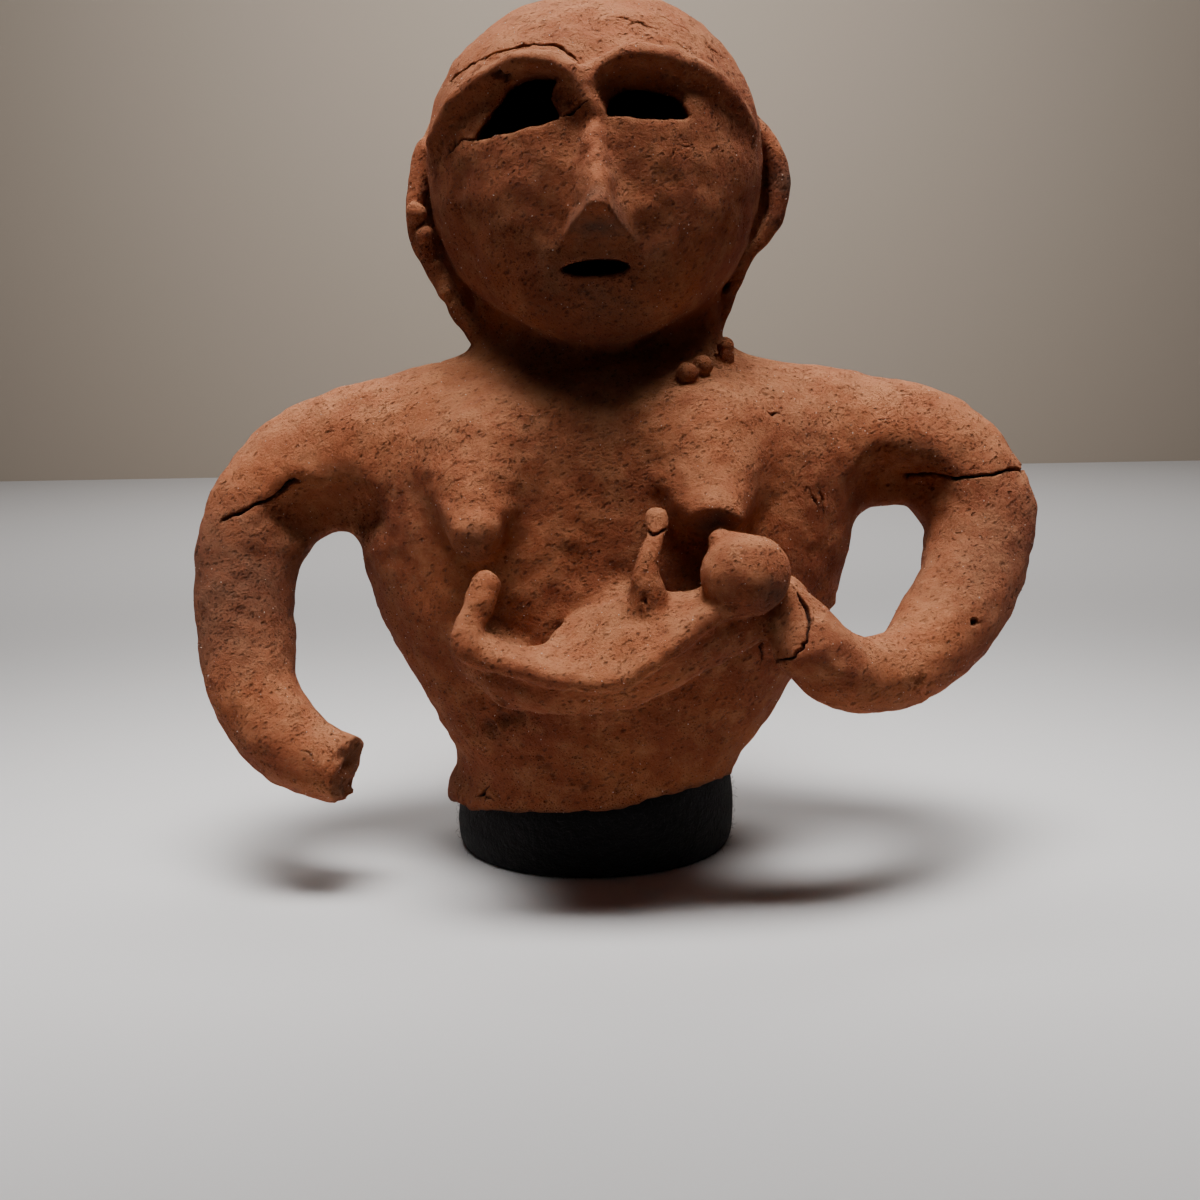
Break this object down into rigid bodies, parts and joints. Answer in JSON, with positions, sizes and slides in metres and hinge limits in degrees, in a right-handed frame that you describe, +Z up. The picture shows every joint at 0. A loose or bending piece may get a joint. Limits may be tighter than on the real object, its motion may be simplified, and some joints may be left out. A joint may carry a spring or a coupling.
{
  "type": "haniwa figure of a nursing woman",
  "caption": "Hollow fired-clay bust of a woman nursing an infant, broken off at the waist and one wrist, on an oval padded cloth support.",
  "frame": {"origin": "centre of the padded support's flat underside", "axes": "+Z up, the woman faces -Y, and +X is on a viewer's right when facing her"},
  "size_m": [0.3911, 0.1849, 0.3955],
  "materials": {
    "terracotta": "low-fired unglazed clay, orange-brown, gritty and pitted, with brush marks, cracks and dark firing spots",
    "black_cloth": "matt black felted cloth stretched over padding, fuzzy at its rim"
  },
  "bodies": {
    "root": {"nursing_figure": "terracotta", "padded_support": "black_cloth"}
  },
  "joints": []
}
